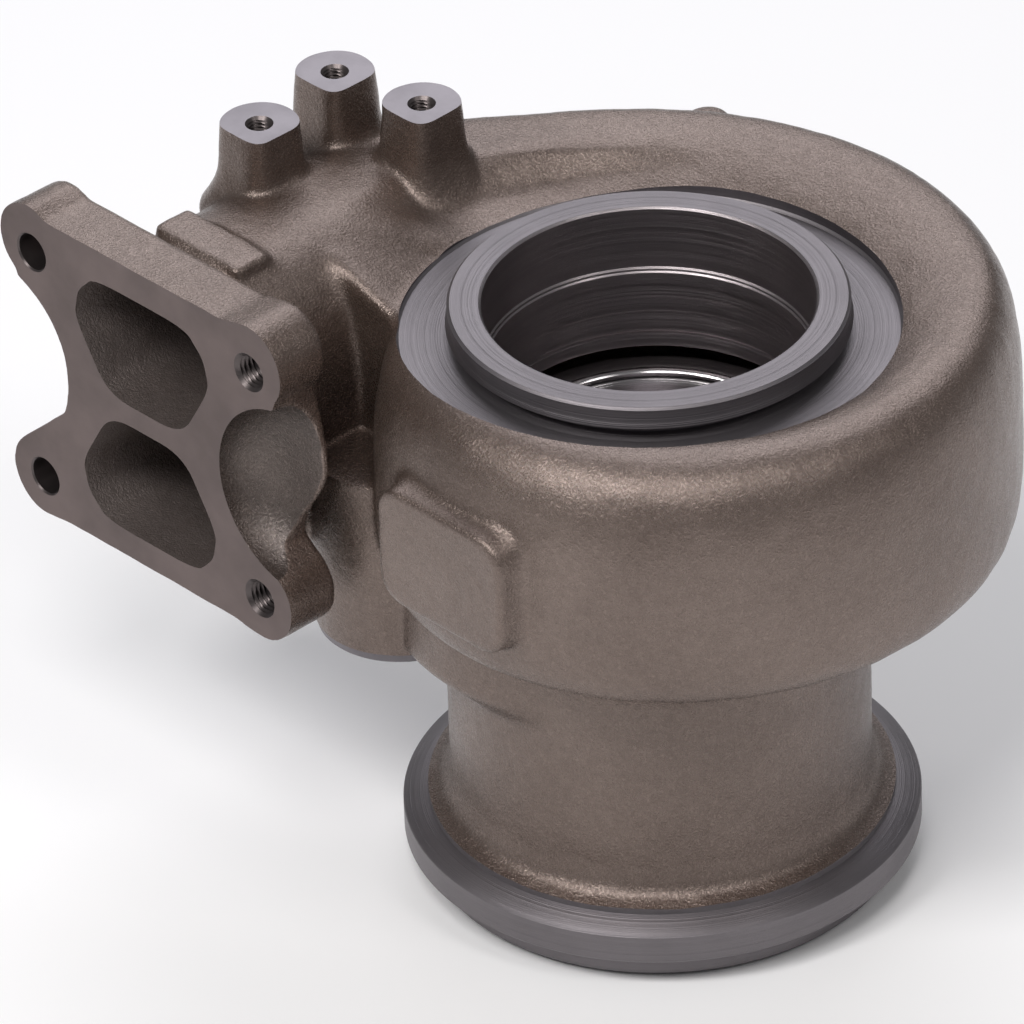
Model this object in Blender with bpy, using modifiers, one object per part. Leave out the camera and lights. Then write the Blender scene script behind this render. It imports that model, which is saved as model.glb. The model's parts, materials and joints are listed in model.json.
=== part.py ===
"""Twin-scroll turbine housing of a truck turbocharger, one casting, machined where it mates.

Frame: +Z runs up the turbine axis to the bearing housing ring, -Y is out of the inlet flange.
Local heights are measured from the ring's top face, and the datum puts the part on z = 0.
"""
import math

import bmesh
import bpy
import numpy as np

MM = 0.001

# Bearing housing ring, turned about the turbine axis
RING_OUTER_R = 62.5
RING_RIM_HEIGHT = 7.2
RING_WALL = 10.8
RING_GROOVE_DEPTH = 4.9
RING_GROOVE_R = RING_OUTER_R - RING_GROOVE_DEPTH
RING_BORE_R = RING_OUTER_R - RING_WALL
RING_SEAT_DEPTH = 22.0
SEAT_STEP = 1.1
PILOT_BORE_R = RING_BORE_R - SEAT_STEP
RECESS_WIDTH = 15.5
RECESS_R = RING_OUTER_R + RECESS_WIDTH
RECESS_DEPTH = 11.8
HUB_WALL = 9.5
HUB_R = RING_OUTER_R + HUB_WALL
HUB_END = 84.0
EDGE_BREAK = 0.6
CUTTER_RISE = 60.0
FACING_STOCK = 1.3

# Wheel chamber and shroud
THROAT_TOP = 50.0
THROAT_WIDTH = 7.0
THROAT_DEPTH = 7.9
THROAT_OUTER_R = PILOT_BORE_R + THROAT_DEPTH
SHROUD_LIP = 4.1
SHROUD_LIP_R = PILOT_BORE_R - SHROUD_LIP
SHROUD_CONTOUR = 6.0
SHROUD_R = SHROUD_LIP_R - SHROUD_CONTOUR
SHROUD_END = 88.0
RELIEF_DEPTH = 0.7

# Outlet
TOTAL_HEIGHT = 203.0
NECK_R = 66.4
NECK_TOP = 108.0
OUTLET_BORE_R = 58.0
VBAND_R = 81.7
VBAND_TOP = 183.0
VBAND_RIM_HEIGHT = 10.2
VBAND_TAPER_DEG = 20.0
VBAND_ROOT_R = 73.7
PILOT_LIP_R = 74.6

# Scroll: the outer radius falls with the wrap angle from the inlet
MID_PLANE = 48.0
SCROLL_SPAN = 62.6
SCROLL_START_R = RING_OUTER_R + SCROLL_SPAN
SCROLL_FALL = 0.0435
SCROLL_CURVE = 2.65e-4
SCROLL_FLARE = 25.0
SCROLL_FLARE_DEG = 17.0
SCROLL_TOP = -1.0
SCROLL_TOP_FALL = 0.011
SCROLL_ROOF_DROP = 5.5
SCROLL_BOTTOM = 85.4
SCROLL_BOTTOM_SAG = 9.0
SCROLL_SHOULDER = 0.225
SCROLL_LATE_SHOULDER = 0.4
SCROLL_END_DEG = 345.0
SCROLL_INNER_R = 50.0
STATION_STEP_DEG = 12.0
CAST_WALL = 6.5
DIVIDER = 7.6

# Inlet duct and flange
INLET_OFFSET = 9.9
INLET_X = SCROLL_START_R - INLET_OFFSET
FLANGE_Y = 107.0
FLANGE_THICKNESS = 19.4
FLANGE_PITCH_X = 99.2
FLANGE_PITCH_Z = 83.4
FLANGE_TOP = 56.0
FLANGE_BOTTOM = 54.4
EAR_R = 14.3
EAR_RISE = 2.6
NEAR_RIDGE = [(62.5, 17.5), (64.7, 0.0), (58.0, -10.0), (52.5, -16.6), (51.0, -25.0)]
WAIST_R = 31.8
WAIST_CENTRE = 66.0
SCOOP_DEPTH = 16.5
PORT_HALF_WIDTH = 30.8
PORT_HEIGHT = 41.0
DUCT_POWERS = (2.9, 5.0)
CLEAR_HOLE_R = 6.2
TAPPED_HOLE_R = 5.2
DUCT_END_Y = 42.0

# Posts on the roof of the inlet, with tapped holes
POST_TOP = 21.0
POST_R = 12.5
POST_FLAT = 9.8
POST_DRAFT = 0.085
POST_HOLE_R = 3.4
POST_CHAMFER_R = 4.5
POST_HOLE_DEPTH = 20.0
POST_ROOT = 38.0
POSTS = [(-20.7, -35.8), (-26.0, 1.4), (7.5, 7.1)]

# Cast pads
LAND = (-18.8, 18.2, -82.0, -68.5, 5.2)
SIDE_PAD = (8.4, -49.4, 53.0, 40.0)
SIDE_PAD_Y = 98.4
SIDE_PAD_ROUND = 9.0
NUB = (-70.5, 94.7, 8.0, -7.0)
FOOT = (-63.6, -49.8)
FOOT_R = 27.5
FOOT_TOP = 58.0
FOOT_BOTTOM = 123.2
FOOT_RIM = 3.0
FLARE_R = 60.0
FLARE_OFFSET = 22.0
FLARE_DEG = -138.0
FLARE_TOP = 62.0
FLARE_BOTTOM = 116.0
FLARE_END = 126.0

# Web that closes the notch between the duct and the end of the scroll
WEB_FRONT_Y = 50.5
WEB_TOP = 1.0
WEB_SLOPE = 0.34
WEB_BOTTOM = 77.3
WEB_BACK_Y = 10.3
WEB_OVERLAP = 23.2

SEGMENTS = 56
TURN_PHASE_DEG = 1.7


def clear_scene():
    for old in list(bpy.data.objects):
        bpy.data.objects.remove(old, do_unlink=True)


def collection(name):
    made = bpy.data.collections.new(name)
    bpy.context.scene.collection.children.link(made)
    return made


def material(name, colour, metallic, roughness):
    made = bpy.data.materials.new(name)
    made.use_nodes = True
    shader = made.node_tree.nodes["Principled BSDF"]
    shader.inputs["Base Color"].default_value = colour
    shader.inputs["Metallic"].default_value = metallic
    shader.inputs["Roughness"].default_value = roughness
    return made


def mesh_object(name, points, faces, home):
    mesh = bpy.data.meshes.new(name)
    mesh.from_pydata([[c * MM for c in p] for p in points], [], faces)
    work = bmesh.new()
    work.from_mesh(mesh)
    bmesh.ops.remove_doubles(work, verts=work.verts, dist=1e-6)
    bmesh.ops.recalc_face_normals(work, faces=work.faces)
    if work.calc_volume(signed=True) < 0:
        bmesh.ops.reverse_faces(work, faces=work.faces)
    work.to_mesh(mesh)
    work.free()
    made = bpy.data.objects.new(name, mesh)
    home.objects.link(made)
    return made


def helper(made):
    made.hide_render = True
    made.display_type = "WIRE"
    return made


def loft(name, rings, home):
    """Closed body through rings of equal point counts, capped flat at both ends."""
    count = len(rings[0])
    points = [p for ring in rings for p in ring]
    faces = []
    for i in range(len(rings) - 1):
        for j in range(count):
            k = (j + 1) % count
            a = i * count
            faces.append([a + j, a + k, a + count + k, a + count + j])
    last = (len(rings) - 1) * count
    faces.append(list(range(count)))
    faces.append([last + j for j in range(count)])
    return mesh_object(name, points, faces, home)


def turned(name, profile, home, segments=SEGMENTS, centre=(0.0, 0.0)):
    """Screws a profile of (radius, depth) pairs, outer side from top to bottom, about the vertical."""
    mesh = bpy.data.meshes.new(name)
    points = [(r * MM, 0.0, -d * MM) for r, d in profile]
    edges = [(i, i + 1) for i in range(len(points) - 1)]
    if profile[0][0] > 1e-6:
        edges.append((len(points) - 1, 0))
    mesh.from_pydata(points, edges, [])
    made = bpy.data.objects.new(name, mesh)
    home.objects.link(made)
    made.location = (centre[0] * MM, centre[1] * MM, 0.0)
    made.rotation_euler = (0.0, 0.0, math.radians(TURN_PHASE_DEG))
    screw = made.modifiers.new("turn", "SCREW")
    screw.axis = "Z"
    screw.angle = 2 * math.pi
    screw.steps = segments
    screw.render_steps = segments
    screw.use_merge_vertices = True
    screw.merge_threshold = 0.00002
    screw.use_smooth_shade = False
    return made


def extrude_y(name, outline, y0, y1, home):
    """Prism with an outline in X and Z between two depths."""
    rings = [[(x, y, z) for x, z in outline] for y in (y0, y1)]
    return loft(name, rings, home)


def arc(cx, cz, radius, start, end, count):
    turn = np.radians(np.linspace(start, end, count))
    return [(cx + radius * math.cos(a), cz + radius * math.sin(a)) for a in turn]


def rounded_box(half_x, half_z, radius, count=4):
    outline = []
    for sx, sz, start in ((1, 1, 0), (-1, 1, 90), (-1, -1, 180), (1, -1, 270)):
        cx = sx * (half_x - radius)
        cz = sz * (half_z - radius)
        outline += arc(cx, cz, radius, start, start + 90, count)
    return outline


def corner_cut(loop, rounds):
    """Softens a closed loop by cutting its corners."""
    points = np.array(loop, float)
    for _ in range(rounds):
        after = np.roll(points, -1, axis=0)
        pair = np.stack([0.75 * points + 0.25 * after, 0.25 * points + 0.75 * after], 1)
        points = pair.reshape(-1, 2)
    return [tuple(p) for p in points]


def scroll_outer(wrap):
    flare = SCROLL_FLARE * math.exp(-((wrap / SCROLL_FLARE_DEG) ** 1.6))
    return SCROLL_START_R - SCROLL_FALL * wrap - SCROLL_CURVE * wrap * wrap + flare


def scroll_top(wrap):
    return SCROLL_TOP - SCROLL_TOP_FALL * wrap


def scroll_bottom(wrap):
    return -SCROLL_BOTTOM - SCROLL_BOTTOM_SAG * math.exp(-wrap / 25.0)


def place(station, loop):
    """Puts a (radius, height) loop on a station: ("duct", y) or ("wrap", degrees)."""
    kind, value = station
    if kind == "duct":
        return [(-u, value, z) for u, z in loop]
    turn = math.radians(180.0 - value)
    return [(u * math.cos(turn), u * math.sin(turn), z) for u, z in loop]


def oval(u_in, u_out, widths, top, bottom, powers, dip=0.0, count=28):
    """Cast outer section: super-elliptic quarters; dip lowers the roof towards the axis."""
    centre_z = -MID_PLANE
    loop = []
    for k in range(count):
        a = 2 * math.pi * k / count
        c, s = math.cos(a), math.sin(a)
        width = widths[0] if s > 0 else widths[1]
        centre_u = u_out - width
        half_u = width if c > 0 else centre_u - u_in
        half_z = top - centre_z if s > 0 else centre_z - bottom
        power = powers[0] if s > 0 else powers[1]
        u = math.copysign(abs(c) ** (2 / power), c) * half_u
        z = math.copysign(abs(s) ** (2 / power), s) * half_z
        if s > 0 and u < 0:
            z = max(z + dip * u, 0.0)
        loop.append((centre_u + u, centre_z + z))
    return loop


def duct_outer_loop():
    half = PORT_HALF_WIDTH + CAST_WALL
    top = -MID_PLANE + DIVIDER / 2 + PORT_HEIGHT + CAST_WALL
    bottom = -MID_PLANE - DIVIDER / 2 - PORT_HEIGHT - CAST_WALL
    return oval(INLET_X - half, INLET_X + half, (half, half), top, bottom, DUCT_POWERS)


def scroll_outer_loop(wrap):
    outer = scroll_outer(wrap)
    late = min(max((wrap - 120.0) / 160.0, 0.0), 1.0)
    room = outer - RING_GROOVE_R
    upper = (SCROLL_SHOULDER + SCROLL_LATE_SHOULDER * late) * room + 2.0
    lower = SCROLL_SHOULDER * room + 2.0
    top, bottom = scroll_top(wrap), scroll_bottom(wrap)
    powers = (3.3 - 0.9 * late, 3.9)
    dip = SCROLL_ROOF_DROP / max(outer - upper - RECESS_R, 12.0)
    return oval(SCROLL_INNER_R, outer, (upper, lower), top, bottom, powers, dip)


def blend(a, b, t):
    return [(p[0] * (1 - t) + q[0] * t, p[1] * (1 - t) + q[1] * t) for p, q in zip(a, b)]


def inlet_rings():
    """Outer stations from the flange along the duct and round the first half of the scroll."""
    duct = duct_outer_loop()
    start = scroll_outer_loop(0.0)
    rings = [place(("duct", y), duct) for y in (-FLANGE_Y + 3.0, -72.0, -DUCT_END_Y)]
    for y, t in ((-28.0, 0.18), (-14.0, 0.55)):
        rings.append(place(("duct", y), blend(duct, start, t)))
    for wrap in list(np.arange(0.0, 36.0, 9.0)) + list(np.arange(36.0, 181.0, STATION_STEP_DEG)):
        rings.append(place(("wrap", wrap), scroll_outer_loop(wrap)))
    return rings


def tail_rings():
    """Outer stations of the second half, which closes under the inlet duct."""
    wraps = np.arange(180.0, SCROLL_END_DEG + STATION_STEP_DEG + 0.1, STATION_STEP_DEG)
    return [place(("wrap", wrap), scroll_outer_loop(wrap)) for wrap in wraps]


def port_loop(side):
    """Port seen in its section; side is +1 for the upper passage and -1 for the lower."""
    h, w = PORT_HEIGHT, PORT_HALF_WIDTH
    low = DIVIDER / 2
    half = [(0.55 * w, low), (w, low + 0.56 * h), (0.93 * w, low + 0.81 * h), (0.68 * w, low + h)]
    loop = [(-half[0][0], half[0][1])] + half[:] + [(-u, z) for u, z in reversed(half[1:])]
    return [(INLET_X + u, -MID_PLANE + side * z) for u, z in loop]


def passage_loop(wrap, side):
    """Gas passage of one scroll, from its throat at the wheel out to the cast wall."""
    outer = scroll_outer(wrap) - CAST_WALL
    inner = THROAT_OUTER_R - 4.0
    width = outer - inner
    mid = -MID_PLANE
    throat_mid = -THROAT_TOP - THROAT_WIDTH / 2
    fade = 0.35 * wrap / SCROLL_END_DEG
    full = scroll_top(wrap) - CAST_WALL if side > 0 else scroll_bottom(wrap) + CAST_WALL
    limit = full * (1 - fade) + (mid + side * 9.0) * fade
    reach = abs(limit - mid)
    low = DIVIDER / 2
    lip = throat_mid + side * (THROAT_WIDTH / 2)
    edge = throat_mid + side * 1.1
    inner_wall = THROAT_OUTER_R + 1.5
    crown = (outer - 0.34 * width, limit)
    shelf = min(RECESS_R - 5.0, (inner_wall + crown[0]) / 2)
    under = min(limit, -RECESS_DEPTH - 7.5) if side > 0 else max(limit, mid - 0.86 * reach)
    return [
        (inner, edge),
        (outer - 0.1 * width, mid + side * low),
        (outer, mid + side * (low + 0.42 * (reach - low))),
        (outer - 0.05 * width, mid + side * (low + 0.82 * (reach - low))),
        crown,
        (shelf, under),
        (inner_wall, mid + side * (low + 0.4 * (reach - low))),
        (inner, lip),
    ]


def passage_rings(side):
    duct = port_loop(side)
    start = passage_loop(0.0, side)
    rings = [(("duct", y), duct) for y in (-FLANGE_Y - 6.0, -FLANGE_Y + 25.0, -DUCT_END_Y - 4.0)]
    for y, t in ((-31.0, 0.12), (-19.0, 0.32), (-9.0, 0.6)):
        rings.append((("duct", y), blend(duct, start, t)))
    rings.append((("wrap", 0.0), blend(duct, start, 0.86)))
    wrap = 9.0
    while wrap <= SCROLL_END_DEG + 0.1:
        rings.append((("wrap", wrap), passage_loop(wrap, side)))
        wrap += 14.0
    return [place(station, corner_cut(loop, 1)) for station, loop in rings]


def flange_outline():
    """Flange face seen from the inlet side: corner ears, flat edges, waisted far side."""
    ex, ez = FLANGE_PITCH_X / 2, FLANGE_PITCH_Z / 2
    upper = ez + EAR_RISE
    outline = arc(ex, upper, EAR_R, 95, -40, 9) + NEAR_RIDGE
    outline += arc(ex, -ez, EAR_R, 50, -95, 9)
    outline += [(37.0, -FLANGE_BOTTOM), (-39.0, -FLANGE_BOTTOM)]
    outline += arc(-ex, -ez, EAR_R, 265, 128, 9)
    outline += arc(-WAIST_CENTRE - 1.5, 0.0, WAIST_R, -24, 71, 9)
    outline += arc(-ex, upper, EAR_R, 238, 85, 10)
    outline += [(-42.0, FLANGE_TOP), (37.0, FLANGE_TOP)]
    return [(x - INLET_X, z - MID_PLANE) for x, z in outline]


def ring_cutter(home):
    """What is turned away over and round the bearing housing ring, out to the edge of its recess."""
    taper = math.tan(math.radians(20.0)) * RING_GROOVE_DEPTH
    profile = [
        (0.0, -CUTTER_RISE),
        (RECESS_R, -CUTTER_RISE),
        (RECESS_R, RECESS_DEPTH),
        (RING_GROOVE_R + 2.0, RECESS_DEPTH),
        (RING_GROOVE_R, RECESS_DEPTH - 0.8),
        (RING_GROOVE_R, RING_RIM_HEIGHT + taper),
        (RING_OUTER_R, RING_RIM_HEIGHT),
        (RING_OUTER_R, EDGE_BREAK),
        (RING_OUTER_R - EDGE_BREAK, 0.0),
        (0.0, 0.0),
    ]
    return turned("ring_cutter", profile, home)


def hub_profile():
    """Outer side of the hub, neck and clamp rim, closed on the axis."""
    return [
        (0.0, -FACING_STOCK),
        (HUB_R, -FACING_STOCK),
        (HUB_R, HUB_END),
        (NECK_R + 4.0, HUB_END + 8.0),
        (NECK_R, NECK_TOP),
        (NECK_R, VBAND_TOP - 13.0),
        (NECK_R + 1.5, VBAND_TOP - 7.5),
        (VBAND_ROOT_R - 2.0, VBAND_TOP - 4.2),
        (VBAND_ROOT_R, VBAND_TOP - (VBAND_R - VBAND_ROOT_R) * math.tan(math.radians(VBAND_TAPER_DEG))),
        (VBAND_R, VBAND_TOP),
        (VBAND_R, VBAND_TOP + VBAND_RIM_HEIGHT - 1.0),
        (VBAND_R - 1.0, VBAND_TOP + VBAND_RIM_HEIGHT),
        (PILOT_LIP_R, VBAND_TOP + VBAND_RIM_HEIGHT),
        (PILOT_LIP_R, TOTAL_HEIGHT - 1.5),
        (PILOT_LIP_R - 1.5, TOTAL_HEIGHT),
        (0.0, TOTAL_HEIGHT),
    ]


def bore_profile():
    """Everything turned out of the middle, from the ring's seat through the shroud to the outlet."""
    lip = THROAT_TOP + THROAT_WIDTH
    return [
        (0.0, -6.0),
        (RING_BORE_R, -6.0),
        (RING_BORE_R, RING_SEAT_DEPTH - 0.3),
        (PILOT_BORE_R + 0.4, RING_SEAT_DEPTH + 0.3),
        (PILOT_BORE_R + 0.4, RING_SEAT_DEPTH + 0.9),
        (PILOT_BORE_R, RING_SEAT_DEPTH + 1.4),
        (PILOT_BORE_R, THROAT_TOP - 5.6),
        (PILOT_BORE_R + RELIEF_DEPTH, THROAT_TOP - 5.4),
        (PILOT_BORE_R + RELIEF_DEPTH, THROAT_TOP - 4.6),
        (PILOT_BORE_R - 0.4, THROAT_TOP - 4.4),
        (PILOT_BORE_R - 0.4, lip - 0.6),
        (SHROUD_LIP_R + 1.0, lip + 0.2),
        (SHROUD_LIP_R - 0.9, lip + 1.4),
        (SHROUD_LIP_R - 1.9, lip + 4.0),
        (SHROUD_R + 2.2, lip + 11.0),
        (SHROUD_R + 0.6, lip + 19.0),
        (SHROUD_R, lip + 25.0),
        (SHROUD_R, SHROUD_END),
        (SHROUD_R + 5.5, SHROUD_END + 9.0),
        (OUTLET_BORE_R - 5.0, SHROUD_END + 23.0),
        (OUTLET_BORE_R - 0.8, SHROUD_END + 42.0),
        (OUTLET_BORE_R, SHROUD_END + 56.0),
        (OUTLET_BORE_R, TOTAL_HEIGHT - 1.5),
        (OUTLET_BORE_R + 1.5, TOTAL_HEIGHT),
        (OUTLET_BORE_R + 1.5, TOTAL_HEIGHT + 6.0),
        (0.0, TOTAL_HEIGHT + 6.0),
    ]


def post(name, centre, home):
    """Drafted round post with two flats, standing on the roof."""
    rings = []
    for z in (-POST_ROOT, -4.0, POST_TOP):
        grow = POST_DRAFT * (POST_TOP - z) if z > -5.0 else -8.0
        ring = []
        for x, y in arc(0.0, 0.0, POST_R + grow, 0, 345, 24):
            x, y = min(x, POST_FLAT + grow), max(y, -POST_FLAT - grow)
            ring.append((centre[0] + x, centre[1] + y, z))
        rings.append(ring)
    return loft(name, rings, home)


def post_hole(name, centre, home):
    top = -POST_TOP
    chamfer = POST_CHAMFER_R - POST_HOLE_R
    profile = [
        (0.0, top - 2.0),
        (POST_CHAMFER_R, top - 2.0),
        (POST_CHAMFER_R, top),
        (POST_HOLE_R, top + chamfer),
        (POST_HOLE_R, top + POST_HOLE_DEPTH),
        (0.0, top + POST_HOLE_DEPTH + 2.0),
    ]
    return turned(name, profile, home, 20, centre)


def flange_hole(name, x, z, radius, home):
    outline = arc(x, z, radius, 0, 345, 24)
    return extrude_y(name, outline, -FLANGE_Y - 4.0, -FLANGE_Y + FLANGE_THICKNESS + 8.0, home)


def side_pad(home):
    cx, cz, width, height = SIDE_PAD
    rings = []
    for back, grow in ((0.0, 0.0), (1.5, 0.6), (5.0, 2.6), (24.0, 12.0)):
        loop = rounded_box(width / 2 + grow, height / 2 + grow, SIDE_PAD_ROUND + grow)
        rings.append([(cx + x, -SIDE_PAD_Y + back, cz + z) for x, z in loop])
    return loft("side_pad", rings, home)


def land(home):
    x0, x1, y0, y1, top = LAND
    rings = []
    for z, grow in ((-14.0, 1.6), (top - 0.8, 0.5), (top, 0.0)):
        loop = rounded_box((x1 - x0) / 2 + grow, (y1 - y0) / 2 + grow, 1.8, 3)
        rings.append([((x0 + x1) / 2 - INLET_X + x, (y0 + y1) / 2 + y, z) for x, y in loop])
    return loft("land", rings, home)


def notch_web(home):
    """Web between the duct's near wall and the scroll, its roof falling towards the ring."""
    rings = []
    outer = INLET_X - WEB_OVERLAP
    inner = RECESS_R - WEB_OVERLAP
    for x in (-outer, -(outer + inner) / 2, -inner):
        top = -WEB_TOP - WEB_SLOPE * (x + outer)
        section = [
            (-WEB_BACK_Y, -9.0),
            (-2 * WEB_BACK_Y, top - 1.2),
            (-WEB_FRONT_Y + 6.0, top),
            (-WEB_FRONT_Y + 2.0, top - 1.6),
            (-WEB_FRONT_Y, top - 6.0),
            (-WEB_FRONT_Y, -WEB_BOTTOM),
            (-WEB_BACK_Y, -WEB_BOTTOM),
        ]
        rings.append([(x, y, z) for y, z in section])
    return loft("notch_web", rings, home)


def scoop(home):
    """Cast clearance bowl between the two near ears of the flange."""
    rings = []
    for k in range(1, 8):
        a = math.radians(-90 + 22.5 * k)
        depth = SCOOP_DEPTH * math.sin(a)
        radius = WAIST_R * math.cos(a)
        loop = arc(WAIST_CENTRE - INLET_X, 0.5 - MID_PLANE, radius, 0, 345, 24)
        rings.append([(x, -FLANGE_Y + depth, z) for x, z in loop])
    return loft("scoop", rings, home)


def flare(home):
    """Off-centre swelling of the neck towards the round foot."""
    turn = math.radians(FLARE_DEG)
    rings = []
    levels = ((FLARE_TOP, FLARE_R, 0.9), (FLARE_BOTTOM, FLARE_R, 1.0), (FLARE_END, FLARE_R + 3.0, 0.0))
    for depth, radius, part in levels:
        off = FLARE_OFFSET * part
        loop = arc(off * math.cos(turn), off * math.sin(turn), radius, 0, 350, 36)
        rings.append([(x, y, -depth) for x, y in loop])
    return loft("flare", rings, home)


def foot(home):
    profile = [
        (0.0, FOOT_TOP),
        (FOOT_R - EDGE_BREAK, FOOT_TOP),
        (FOOT_R - EDGE_BREAK, FOOT_BOTTOM - FOOT_RIM),
        (FOOT_R, FOOT_BOTTOM - FOOT_RIM),
        (FOOT_R, FOOT_BOTTOM),
        (0.0, FOOT_BOTTOM),
    ]
    return turned("foot", profile, home, 40, FOOT)


def nub(home):
    x, y, radius, top = NUB
    profile = [(0.0, -top), (radius - 2.5, -top), (radius, 2.5 - top), (radius + 1.5, 42.0), (0.0, 42.0)]
    return turned("nub", profile, home, 20, (x, y))


def throat(home):
    low = THROAT_TOP + THROAT_WIDTH
    inner = SHROUD_R - 8.0
    profile = [
        (inner, THROAT_TOP),
        (THROAT_OUTER_R, THROAT_TOP),
        (THROAT_OUTER_R, low),
        (PILOT_BORE_R - 0.4, low - EDGE_BREAK),
        (inner, low - EDGE_BREAK),
    ]
    return turned("throat", profile, home)


def boolean(target, other, operation):
    modifier = target.modifiers.new(operation.lower() + "_" + other.name, "BOOLEAN")
    modifier.operation = operation
    modifier.solver = "EXACT"
    modifier.object = other


def cast_pieces(home):
    """Everything that is fused with the inlet and the first half of the scroll."""
    pieces = [
        loft("scroll_tail", tail_rings(), home),
        extrude_y("flange", flange_outline(), -FLANGE_Y, -FLANGE_Y + FLANGE_THICKNESS, home),
        flare(home),
        foot(home),
        notch_web(home),
        side_pad(home),
        land(home),
        nub(home),
        turned("hub_and_neck", hub_profile(), home),
    ]
    for k, (x, y) in enumerate(POSTS):
        pieces.append(post("post_%d" % (k + 1), (x - INLET_X, y), home))
    return pieces


def cutting_tools(home):
    """Cores and cutters, in the order in which they are taken out."""
    cuts = [ring_cutter(home), scoop(home)]
    for k, (x, y) in enumerate(POSTS):
        cuts.append(post_hole("post_hole_%d" % (k + 1), (x - INLET_X, y), home))
    for side, radius in ((-1, CLEAR_HOLE_R), (1, TAPPED_HOLE_R)):
        for level in (1, -1):
            x = side * FLANGE_PITCH_X / 2 - INLET_X
            z = level * FLANGE_PITCH_Z / 2 - MID_PLANE
            name = "flange_hole_%s_%s" % ("near" if side > 0 else "far", "high" if level > 0 else "low")
            cuts.append(flange_hole(name, x, z, radius, home))
    cuts.append(loft("upper_passage", passage_rings(1), home))
    cuts.append(loft("lower_passage", passage_rings(-1), home))
    cuts.append(throat(home))
    cuts.append(turned("bore", bore_profile(), home))
    return cuts


def build():
    clear_scene()
    parts = collection("turbine_housing_part")
    tools = collection("casting_and_cutters")
    tools.hide_render = True
    housing = loft("turbine_housing", inlet_rings(), parts)
    housing.data.materials.append(material("cast_iron", (0.22, 0.19, 0.17, 1.0), 0.75, 0.55))
    for piece in cast_pieces(tools):
        boolean(housing, helper(piece), "UNION")
    for piece in cutting_tools(tools):
        boolean(housing, helper(piece), "DIFFERENCE")
    return parts, tools


def set_on_datum(parts, tools):
    """Moves the part so that its box is centred on X and Y and stands on z = 0."""
    bpy.context.view_layer.update()
    graph = bpy.context.evaluated_depsgraph_get()
    body = parts.objects["turbine_housing"].evaluated_get(graph).to_mesh()
    points = np.array([v.co[:] for v in body.vertices])
    low, high = points.min(0), points.max(0)
    datum = bpy.data.objects.new("housing_datum", None)
    parts.objects.link(datum)
    datum.location = (-(low[0] + high[0]) / 2, -(low[1] + high[1]) / 2, -low[2])
    for made in list(parts.objects) + list(tools.objects):
        if made is not datum:
            made.parent = datum
    print("datum (mm):", [round(c / MM, 3) for c in datum.location])


home_parts, home_tools = build()
set_on_datum(home_parts, home_tools)
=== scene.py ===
"""Looks of the turbine housing: one casting with sandy skin, machined where it mates.

The visible casting is made the way the real one is. A blank of rounded forms is fused and
softened, then flats, rings, bores and threads are cut out of it with sharp edges.
"""
import json
import math

import bpy
import numpy as np
from mathutils import Matrix, Vector


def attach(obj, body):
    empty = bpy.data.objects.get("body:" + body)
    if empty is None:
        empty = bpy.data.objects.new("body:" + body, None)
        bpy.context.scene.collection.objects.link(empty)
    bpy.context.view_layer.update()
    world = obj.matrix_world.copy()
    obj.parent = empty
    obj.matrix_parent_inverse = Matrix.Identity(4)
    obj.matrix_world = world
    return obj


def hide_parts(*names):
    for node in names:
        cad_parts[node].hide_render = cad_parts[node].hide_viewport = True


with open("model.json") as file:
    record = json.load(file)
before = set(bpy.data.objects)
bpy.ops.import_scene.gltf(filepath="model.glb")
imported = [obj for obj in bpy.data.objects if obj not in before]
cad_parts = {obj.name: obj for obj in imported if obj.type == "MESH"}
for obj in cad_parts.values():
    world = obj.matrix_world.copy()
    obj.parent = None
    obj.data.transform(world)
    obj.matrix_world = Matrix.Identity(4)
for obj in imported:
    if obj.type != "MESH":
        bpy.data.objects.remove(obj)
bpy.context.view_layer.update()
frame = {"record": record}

MM = 0.001
NODE = "turbine_housing"

# Sizes are in millimetres and degrees. Depths run down from the ring's top face, which is at height
# zero, and the turbine axis is at x 0, y 0. "Wrap" is the angle that the scroll has wound.

# Bearing housing ring, its turned recess and the ledge under it
RING_OUTER_R = 62.5
RING_RIM_HEIGHT = 7.2
RING_LIP = 0.3
RING_GROOVE_R = 57.6
RING_TAPER_DEG = 20.0
RING_BORE_R = 51.7
RING_SEAT_DEPTH = 22.0
RECESS_R = 78.0
RECESS_DEPTH = 11.8
LEDGE_DEGS = (95.0, 215.0)
LEDGE_RISE = 1.0
LEDGE_FALL = 14.0

# Bore, throat and shroud of the wheel
PILOT_BORE_R = 50.6
THROAT_TOP = 50.0
THROAT_WIDTH = 7.0
THROAT_OUTER_R = 58.5
SHROUD_LIP_R = 46.5
SHROUD_LIP_ROUND = 2.2
SHROUD_R = 40.5
SHROUD_END = 88.0

# Hub, neck, outlet and its clamp rim
TOTAL_HEIGHT = 203.0
HUB_R = 72.0
NECK_R = 66.4
OUTLET_BORE_R = 58.0
VBAND_R = 81.7
VBAND_TOP = 183.0
VBAND_RIM_HEIGHT = 10.2
VBAND_TAPER_DEG = 20.0
VBAND_ROOT_R = 73.7
PILOT_LIP_R = 74.6

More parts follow.
